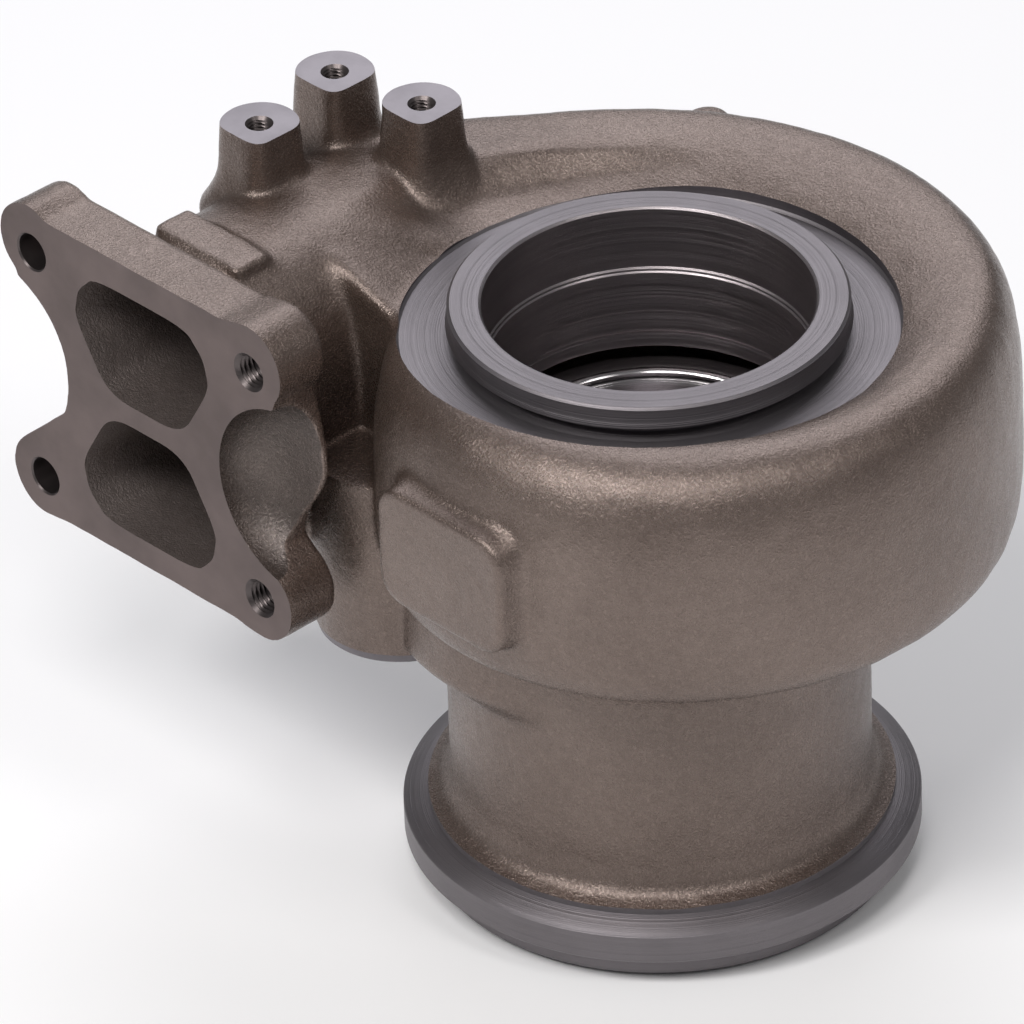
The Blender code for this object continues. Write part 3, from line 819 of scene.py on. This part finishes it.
def ring_cutter():
    """Everything outside the bearing housing ring, out to the edge of its turned recess."""
    taper = math.tan(math.radians(RING_TAPER_DEG)) * (RING_OUTER_R - RING_GROOVE_R)
    return turned([
        (0.0, -40.0),
        (RECESS_R, -40.0),
        (RECESS_R, RECESS_DEPTH - 0.8),
        (RECESS_R - 0.8, RECESS_DEPTH),
        (RING_GROOVE_R + 2.0, RECESS_DEPTH),
        (RING_GROOVE_R, RECESS_DEPTH - 0.9),
        (RING_GROOVE_R, RING_RIM_HEIGHT + taper),
        (RING_OUTER_R - 0.6, RING_RIM_HEIGHT + 0.3),
        (RING_OUTER_R + RING_LIP, RING_RIM_HEIGHT - 0.2),
        (RING_OUTER_R + RING_LIP, RING_RIM_HEIGHT - 0.5),
        (RING_OUTER_R - RING_LIP, RING_RIM_HEIGHT - 1.5),
        (RING_OUTER_R - RING_LIP, 0.8),
        (RING_OUTER_R - RING_LIP - 0.9, 0.0),
        (0.0, 0.0),
    ])


def bore_cutter():
    """The ring's seat and the bore of the wheel, down to the throat."""
    lip = THROAT_TOP + THROAT_WIDTH
    return turned([
        (0.0, -OVERCUT),
        (RING_BORE_R + 0.7, -OVERCUT),
        (RING_BORE_R + 0.7, 0.0),
        (RING_BORE_R, 0.7),
        (RING_BORE_R, RING_SEAT_DEPTH - 0.3),
        (PILOT_BORE_R + 0.5, RING_SEAT_DEPTH + 0.2),
        (PILOT_BORE_R + 0.5, RING_SEAT_DEPTH + 0.9),
        (PILOT_BORE_R, RING_SEAT_DEPTH + 1.4),
        (PILOT_BORE_R, THROAT_TOP - 5.6),
        (PILOT_BORE_R + 0.8, THROAT_TOP - 5.4),
        (PILOT_BORE_R + 0.8, THROAT_TOP - 4.6),
        (PILOT_BORE_R - 0.4, THROAT_TOP - 4.4),
        (PILOT_BORE_R - 0.4, lip - 0.6),
        (0.0, lip - 0.6),
    ])


def shroud_cutter():
    """The wheel's shroud below the throat, with its rounded lip, and the outlet that opens from it."""
    lip = THROAT_TOP + THROAT_WIDTH
    profile = [(0.0, lip - 1.0), (SHROUD_LIP_R + 3.4, lip - 1.0), (SHROUD_LIP_R + 3.4, lip - 0.6)]
    for a in np.radians(np.linspace(90, 190, 9)):
        across, down = SHROUD_LIP_ROUND * math.cos(a), SHROUD_LIP_ROUND * math.sin(a)
        profile.append((SHROUD_LIP_R + 1.6 + across, lip + 2.0 - down))
    profile += [
        (SHROUD_R + 3.9, lip + 4.6),
        (SHROUD_R + 2.6, lip + 8.0),
        (SHROUD_R + 1.5, lip + 12.5),
        (SHROUD_R + 0.6, lip + 18.0),
        (SHROUD_R, lip + 27.0),
        (SHROUD_R, SHROUD_END),
        (SHROUD_R + 5.5, SHROUD_END + 9.0),
        (OUTLET_BORE_R - 5.0, SHROUD_END + 23.0),
        (OUTLET_BORE_R - 0.8, SHROUD_END + 42.0),
        (OUTLET_BORE_R, SHROUD_END + 56.0),
        (OUTLET_BORE_R, TOTAL_HEIGHT - 1.5),
        (OUTLET_BORE_R + 1.5, TOTAL_HEIGHT),
        (OUTLET_BORE_R + 1.5, TOTAL_HEIGHT + OVERCUT),
        (0.0, TOTAL_HEIGHT + OVERCUT),
    ]
    return turned(profile)


def ring_body(section, shift=0.0):
    """Ring of a closed (radius, depth) section; shift turns it by that share of a step."""
    count = len(section)
    points, faces = [], []
    for k in range(TURN_STEPS):
        a = 2 * math.pi * (k + shift) / TURN_STEPS
        points += [(r * math.cos(a), r * math.sin(a), -d) for r, d in section]
        here, there = count * k, count * ((k + 1) % TURN_STEPS)
        for i in range(count):
            j = (i + 1) % count
            faces.append([here + i, here + j, there + j, there + i])
    return outward(points, faces)


def throat_cutter():
    """The slot through which the gas reaches the wheel, all round."""
    low = THROAT_TOP + THROAT_WIDTH
    inner = SHROUD_R - 8.0
    return ring_body([
        (inner, THROAT_TOP),
        (THROAT_OUTER_R, THROAT_TOP),
        (THROAT_OUTER_R, low),
        (inner, low - 0.6),
    ], 0.5)


def rim_cutter():
    """Everything outside the outlet's clamp rim and its spigot."""
    rise = (VBAND_R - VBAND_ROOT_R) * math.tan(math.radians(VBAND_TAPER_DEG))
    bottom = VBAND_TOP + VBAND_RIM_HEIGHT
    return ring_body([
        (VBAND_ROOT_R, VBAND_TOP - rise),
        (VBAND_R - 0.5, VBAND_TOP - 0.3),
        (VBAND_R, VBAND_TOP + 0.3),
        (VBAND_R, bottom - 0.9),
        (VBAND_R - 0.9, bottom),
        (PILOT_LIP_R, bottom),
        (PILOT_LIP_R, TOTAL_HEIGHT - 1.5),
        (PILOT_LIP_R - 1.5, TOTAL_HEIGHT),
        (20.0, TOTAL_HEIGHT),
        (20.0, TOTAL_HEIGHT + 10.0),
        (100.0, TOTAL_HEIGHT + 10.0),
        (100.0, VBAND_TOP - rise - 4.0),
        (VBAND_ROOT_R, VBAND_TOP - rise - 4.0),
    ])


def tap(thread, length, steps=36, rows_per_pitch=6):
    """Threaded plug along +Z from 0 to length, as (points, faces)."""
    pitch, major, minor = thread
    rows = int(length / pitch * rows_per_pitch) + 1
    points = [(0.0, 0.0, 0.0)]
    for i in range(rows):
        z = length * i / (rows - 1)
        for k in range(steps):
            a = 2 * math.pi * k / steps
            f = (z / pitch - k / steps) % 1.0
            height = min(max((1 - abs(2 * f - 1) - THREAD_ROOT) / THREAD_FLANK, 0.0), 1.0)
            r = minor + (major - minor) * height
            points.append((r * math.cos(a), r * math.sin(a), z))
    points.append((0.0, 0.0, length))
    faces = []
    for k in range(steps):
        j = (k + 1) % steps
        faces.append([0, 1 + j, 1 + k])
        for i in range(rows - 1):
            a = 1 + i * steps
            faces.append([a + k, a + j, a + steps + j, a + steps + k])
        a = 1 + (rows - 1) * steps
        faces.append([len(points) - 1, a + k, a + j])
    return outward(points, faces)


def post_hole(centre):
    """Threaded hole of a post and its countersink, as separate bodies."""
    points, faces = tap(M8, POST_HOLE_DEPTH + 1.0)
    points = points + np.array([centre[0], centre[1], POST_TOP - POST_HOLE_DEPTH])
    top, tip_r = -POST_TOP, M8[2] - 1.0
    tip = top + POST_CHAMFER_R - M8[2] + 1.0
    profile = [(0.0, top - 3.0), (POST_CHAMFER_R + 3.0, top - 3.0), (tip_r, tip), (0.0, tip)]
    return (points, faces), turned(profile, centre, 48)


def flange_holes():
    """Clear holes in the far ears, threads in the near ones, with small countersinks."""
    plain, threads, sinks = [], [], []
    for side in (-1, 1):
        for level in (1, -1):
            x = side * FLANGE_PITCH_X / 2 - INLET_X
            z = level * FLANGE_PITCH_Z / 2 - MID_PLANE
            if side < 0:
                plain.append(prism_y(arc(x, z, CLEAR_HOLE_R, 0, 353, 52), -FLANGE_Y - 5, -FLANGE_Y + 30))
                sink_r = CLEAR_HOLE_R + 0.5
            else:
                points, faces = tap(M12, FLANGE_TAP_LENGTH)
                points = np.stack([points[:, 0] + x, points[:, 2] - FLANGE_Y - 5.0, -points[:, 1] + z], 1)
                threads.append((points, faces))
                sink_r = M12[1] + 0.6
            cone = ((-FLANGE_Y - 3, sink_r + 3), (-FLANGE_Y + sink_r - 1, 1.0))
            sinks.append(loft([[(px, y, pz) for px, pz in arc(x, z, r, 0, 353, 52)] for y, r in cone]))
    return plain, threads, sinks


def foot_rim_cutter():
    """What is turned away round the foot, on the side that stands clear of the neck."""
    middle = math.degrees(math.atan2(FOOT[1], FOOT[0]))
    low, high = -FOOT_BOTTOM, FOOT_RIM - FOOT_BOTTOM
    inner, outer = FOOT_R - FOOT_RIM_CUT, FOOT_R + 3.0
    section = [
        (inner - 2.0, low - 1.0),
        (outer, low - 1.0),
        (outer, high),
        (inner, high),
        (inner, low + 0.6),
        (inner - 0.6, low),
        (inner - 2.0, low),
    ]
    rings = []
    for a in np.radians(np.linspace(middle - FOOT_RIM_HALF_TURN, middle + FOOT_RIM_HALF_TURN, 81)):
        rings.append([(FOOT[0] + r * math.cos(a), FOOT[1] + r * math.sin(a), z) for r, z in section])
    return loft(rings)


def foot_base_cutter():
    """What is cut off under the foot, kept clear of the neck."""
    outline = []
    for x, y in circle(*FOOT, FOOT_R + 1.5, ROUND_STEPS):
        away = max(1.0, (NECK_R + 1.0) / math.hypot(x, y))
        outline.append((x * away, y * away))
    return loft([[(x, y, z) for x, y in outline] for z in (-FOOT_BOTTOM - 8.0, -FOOT_BOTTOM)])


def machine(casting):
    """Cuts the finished faces, in the order a shop would: faces, rings, bores, holes."""
    # Both boxes reach well past the metal that they take off
    face = block((-240.0, -140.0, -140.0), (0.0, -FLANGE_Y, 60.0))
    tops = block((-190.0, -60.0, POST_TOP), (-70.0, 40.0, 60.0))
    for name, body, finish in (
        ("flange_face", face, FACED),
        # The bowl's skin is not machined: this cut only gives the bowl the darker skin, painted shade in its
        # hollow
        ("bowl", scoop(SCOOP_SKIN), PAINTED_SHADE),
        ("post_tops", tops, GROUND),
        ("ring", ring_cutter(), TURNED),
        ("rim", rim_cutter(), TURNED),
        ("foot_base", foot_base_cutter(), TURNED),
        ("foot_rim", foot_rim_cutter(), GROUND),
        # The passage cores carry the lighter passage skin, painted light inside the passages
        ("upper_gas", passage(1), LIT_PASSAGE),
        ("lower_gas", passage(-1), LIT_PASSAGE),
        # The throat and bore carry the bored metal, whose lighter tone is painted light inside them
        ("throat", throat_cutter(), BORED),
        ("bore", bore_cutter(), BORED),
        ("shroud", shroud_cutter(), POLISHED),
    ):
        cut(casting, joined(name, [body], finish))
    plain, threads, sinks = flange_holes()
    for centre in POSTS:
        thread, sink = post_hole(centre)
        threads.append(thread)
        sinks.append(sink)
    cut(casting, joined("sinks", sinks, DRILLED))
    cut(casting, joined("holes", plain + threads, DRILLED))


def node_tools(made):
    """Two helpers for a material's nodes: one adds a node with its settings, one links sockets."""
    nodes, links = made.node_tree.nodes, made.node_tree.links

    def add(kind, **settings):
        node = nodes.new(kind)
        for key, value in settings.items():
            if key in node.inputs:
                node.inputs[key].default_value = value
            else:
                setattr(node, key, value)
        return node

    return add, links.new


def new_material(name, metallic, roughness):
    made = bpy.data.materials.new(name)
    made.use_nodes = True
    shader = made.node_tree.nodes["Principled BSDF"]
    shader.inputs["Metallic"].default_value = metallic
    shader.inputs["Roughness"].default_value = roughness
    return made, shader


def ramp(add, stops):
    """Colour ramp through (position, colour) stops."""
    node = add("ShaderNodeValToRGB")
    elements = node.color_ramp.elements
    while len(elements) < len(stops):
        elements.new(0.5)
    for element, (place_at, colour) in zip(elements, stops):
        element.position = place_at
        element.color = (*colour, 1.0)
    return node


def remapped(add, link, value, span, result):
    """A value's way through one span, put on another; gives the output socket."""
    node = add("ShaderNodeMapRange")
    for key, setting in zip(("From Min", "From Max", "To Min", "To Max"), span + result):
        node.inputs[key].default_value = setting
    link(value, node.inputs["Value"])
    return node.outputs["Result"]


def averaged(add, link, first, second, share):
    """Mix of two values, with this share of the second; gives the output socket."""
    node = add("ShaderNodeMix", data_type="FLOAT")
    node.inputs["Factor"].default_value = share
    link(first, node.inputs["A"])
    link(second, node.inputs["B"])
    return node.outputs["Result"]


def cast_material(name, dark, light, roughness, grain):
    """Sand-cast skin: fine grain that sparkles, slow patches of tone."""
    made, shader = new_material(name, SKIN_METALLIC, roughness)
    shader.inputs["IOR"].default_value = SKIN_IOR
    add, link = node_tools(made)
    where = add("ShaderNodeTexCoord")
    fine = add("ShaderNodeTexNoise", Scale=1250.0, Detail=3.0, Roughness=0.65)
    middle = add("ShaderNodeTexNoise", Scale=330.0, Detail=4.0, Roughness=0.6)
    broad = add("ShaderNodeTexNoise", Scale=26.0, Detail=3.0, Roughness=0.55)
    for noise in (fine, middle, broad):
        link(where.outputs["Object"], noise.inputs["Vector"])
    tone = ramp(add, [(0.3, dark), (0.72, light)])
    patches = averaged(add, link, middle.outputs["Fac"], broad.outputs["Fac"], 0.55)
    link(patches, tone.inputs["Fac"])
    grains = remapped(add, link, fine.outputs["Fac"], (0.54, 0.74), (0.0, GRAIN_SHARE))
    lit = add("ShaderNodeMixRGB")
    lit.inputs["Color2"].default_value = (*[min(GRAIN_GAIN * c, 1.0) for c in light], 1.0)
    link(grains, lit.inputs["Fac"])
    link(tone.outputs["Color"], lit.inputs["Color1"])
    link(lit.outputs["Color"], shader.inputs["Base Color"])
    gloss = (roughness + 0.08, roughness - 0.12)
    link(remapped(add, link, fine.outputs["Fac"], (0.35, 0.7), gloss), shader.inputs["Roughness"])
    small = add("ShaderNodeBump", Strength=grain, Distance=0.00034)
    link(fine.outputs["Fac"], small.inputs["Height"])
    large = add("ShaderNodeBump", Strength=0.2 * grain, Distance=0.0012)
    link(middle.outputs["Fac"], large.inputs["Height"])
    link(small.outputs["Normal"], large.inputs["Normal"])
    link(large.outputs["Normal"], shader.inputs["Normal"])


def faced_material(name, colour):
    """Flat face, milled or ground: nearly smooth, with faint tool marks and stains."""
    made, shader = new_material(name, 0.9, 0.36)
    add, link = node_tools(made)
    where = add("ShaderNodeTexCoord")
    stain = add("ShaderNodeTexNoise", Scale=38.0, Detail=4.0, Roughness=0.6)
    scratch = add("ShaderNodeTexNoise", Scale=700.0, Detail=3.0)
    stretch = add("ShaderNodeMapping", vector_type="POINT")
    stretch.inputs["Scale"].default_value = (0.06, 1.0, 1.0)
    link(where.outputs["Object"], stretch.inputs["Vector"])
    link(where.outputs["Object"], stain.inputs["Vector"])
    link(stretch.outputs["Vector"], scratch.inputs["Vector"])
    shades = [tuple(c * k for c in colour) for k in (0.82, 1.12)]
    tone = ramp(add, [(0.35, shades[0]), (0.65, shades[1])])
    link(stain.outputs["Fac"], tone.inputs["Fac"])
    link(tone.outputs["Color"], shader.inputs["Base Color"])
    bump = add("ShaderNodeBump", Strength=0.12, Distance=0.0002)
    link(scratch.outputs["Fac"], bump.inputs["Height"])
    link(bump.outputs["Normal"], shader.inputs["Normal"])


def turned_material(name, colour, roughness, marks):
    """Lathe-cut surface: fine rings about the turbine axis, in relief and in tone."""
    made, shader = new_material(name, 1.0, roughness)
    add, link = node_tools(made)
    where = add("ShaderNodeTexCoord")
    from_axis = add("ShaderNodeVectorMath", operation="SUBTRACT")
    from_axis.inputs[1].default_value = ORIGIN
    link(where.outputs["Object"], from_axis.inputs[0])
    parts = add("ShaderNodeSeparateXYZ")
    link(from_axis.outputs["Vector"], parts.inputs["Vector"])
    flat = add("ShaderNodeCombineXYZ")
    link(parts.outputs["X"], flat.inputs["X"])
    link(parts.outputs["Y"], flat.inputs["Y"])
    radius = add("ShaderNodeVectorMath", operation="LENGTH")
    link(flat.outputs["Vector"], radius.inputs[0])
    lathe = add("ShaderNodeCombineXYZ")
    link(radius.outputs["Value"], lathe.inputs["X"])
    link(parts.outputs["Z"], lathe.inputs["Z"])
    grooves = add("ShaderNodeTexNoise", Scale=4200.0, Detail=2.0, Roughness=0.6)
    bands = add("ShaderNodeTexNoise", Scale=260.0, Detail=2.0, Roughness=0.6)
    patches = add("ShaderNodeTexNoise", Scale=45.0, Detail=3.0)
    link(lathe.outputs["Vector"], grooves.inputs["Vector"])
    link(lathe.outputs["Vector"], bands.inputs["Vector"])
    link(where.outputs["Object"], patches.inputs["Vector"])
    shades = [tuple(c * k for c in colour) for k in (0.86, 1.1)]
    tone = ramp(add, [(0.3, shades[0]), (0.7, shades[1])])
    worn = averaged(add, link, bands.outputs["Fac"], patches.outputs["Fac"], 0.5)
    link(worn, tone.inputs["Fac"])
    link(tone.outputs["Color"], shader.inputs["Base Color"])
    bump = add("ShaderNodeBump", Strength=1.0, Distance=marks)
    link(grooves.outputs["Fac"], bump.inputs["Height"])
    link(bump.outputs["Normal"], shader.inputs["Normal"])


def finish_materials():
    """One material for each finish: its tones, roughness, and relief where it has any."""
    cast_material("cast_skin", (0.114, 0.078, 0.062), (0.178, 0.131, 0.109), 0.28, 0.9)
    faced_material("milled_face", (0.130, 0.101, 0.095))
    turned_material("turned_metal", (0.205, 0.190, 0.199), 0.46, 0.00016)
    # Bored metal: its lathe marks and roughness are real, while its tone is lighter than the turned metal
    # outside as painted light in the bore and throat
    turned_material("bored_metal_painted_light", (0.360, 0.326, 0.333), 0.30, 0.00018)
    # Lighter copy of the cast skin inside the gas passages: painted light in place of light reaching in
    cast_material("passage_skin_painted_light", (0.150, 0.118, 0.106), (0.270, 0.226, 0.208), 0.45, 0.9)
    faced_material("drilled_metal", (0.110, 0.094, 0.092))
    faced_material("ground_metal", (0.178, 0.165, 0.176))
    turned_material("polished_metal", (0.43, 0.41, 0.415), 0.17, 0.00004)
    # Darker copy of the cast skin for the clearance bowl: painted shade in the hollow
    cast_material("painted_shade_skin", (0.056, 0.040, 0.033), (0.105, 0.078, 0.066), 0.29, 0.9)


def shade(casting):
    """Smooth shading that keeps the machined edges sharp."""
    mesh = casting.data
    for polygon in mesh.polygons:
        polygon.use_smooth = True
    mesh.set_sharp_from_angle(angle=math.radians(SHARP_DEG))


def area_light(name, place_at, size, watts, colour):
    """Round soft lamp that looks at the middle of the object."""
    light = bpy.data.lights.new(name, "AREA")
    light.shape = "DISK"
    light.size = size
    light.energy = watts
    light.color = colour
    made = new_object(name, light)
    made.location = place_at
    aim = Vector(LAMP_TARGET) - Vector(place_at)
    made.rotation_euler = aim.to_track_quat("-Z", "Y").to_euler()


def studio_world():
    world = bpy.data.worlds.new("studio")
    world.use_nodes = True
    sky = world.node_tree.nodes["Background"]
    sky.inputs["Color"].default_value = SKY_COLOUR
    sky.inputs["Strength"].default_value = SKY_LIGHT
    bpy.context.scene.world = world


def floor_and_light():
    """Pale floor, even sky, soft lamps above and to both sides of the camera, and one behind."""
    mesh = bpy.data.meshes.new("floor")
    corners = [(x * FLOOR_HALF, y * FLOOR_HALF, 0) for x, y in ((-1, -1), (1, -1), (1, 1), (-1, 1))]
    mesh.from_pydata(corners, [], [[0, 1, 2, 3]])
    floor = new_object("floor", mesh)
    floor.location.z = -FLOOR_DROP
    pale, shader = new_material("pale_floor", 0.0, 0.9)
    shader.inputs["Base Color"].default_value = FLOOR_TONE
    mesh.materials.append(pale)
    studio_world()
    for name, settings in LAMPS.items():
        area_light(name, *settings)


def set_camera():
    """The photograph's own view: a long lens from the front right, well above."""
    azimuth, elevation, roll = (math.radians(a) for a in (CAMERA_AZIMUTH, CAMERA_ELEVATION, CAMERA_ROLL))
    level = math.cos(elevation)
    ahead = Vector((-math.sin(azimuth) * level, math.cos(azimuth) * level, -math.sin(elevation)))
    side = Vector((math.cos(azimuth), math.sin(azimuth), 0.0))
    down = ahead.cross(side)
    right = side * math.cos(roll) + down * math.sin(roll)
    under = down * math.cos(roll) - side * math.sin(roll)
    eye = -(right * CAMERA_OFFSET[0] + under * CAMERA_OFFSET[1] + ahead * CAMERA_DISTANCE) * MM + ORIGIN
    lens = bpy.data.cameras.new("camera")
    lens.lens = CAMERA_LENS
    lens.sensor_width = CAMERA_SENSOR
    lens.clip_start = 0.05
    lens.clip_end = 50.0
    camera = new_object("camera", lens)
    camera.matrix_world = Matrix.Translation(eye) @ Matrix((right, -under, -ahead)).transposed().to_4x4()
    bpy.context.scene.camera = camera


def main():
    finish_materials()
    casting = casting_blank()
    machine(casting)
    shade(casting)
    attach(casting, "root")
    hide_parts(NODE)
    floor_and_light()
    set_camera()
    bpy.context.scene.view_settings.view_transform = "Standard"


main()
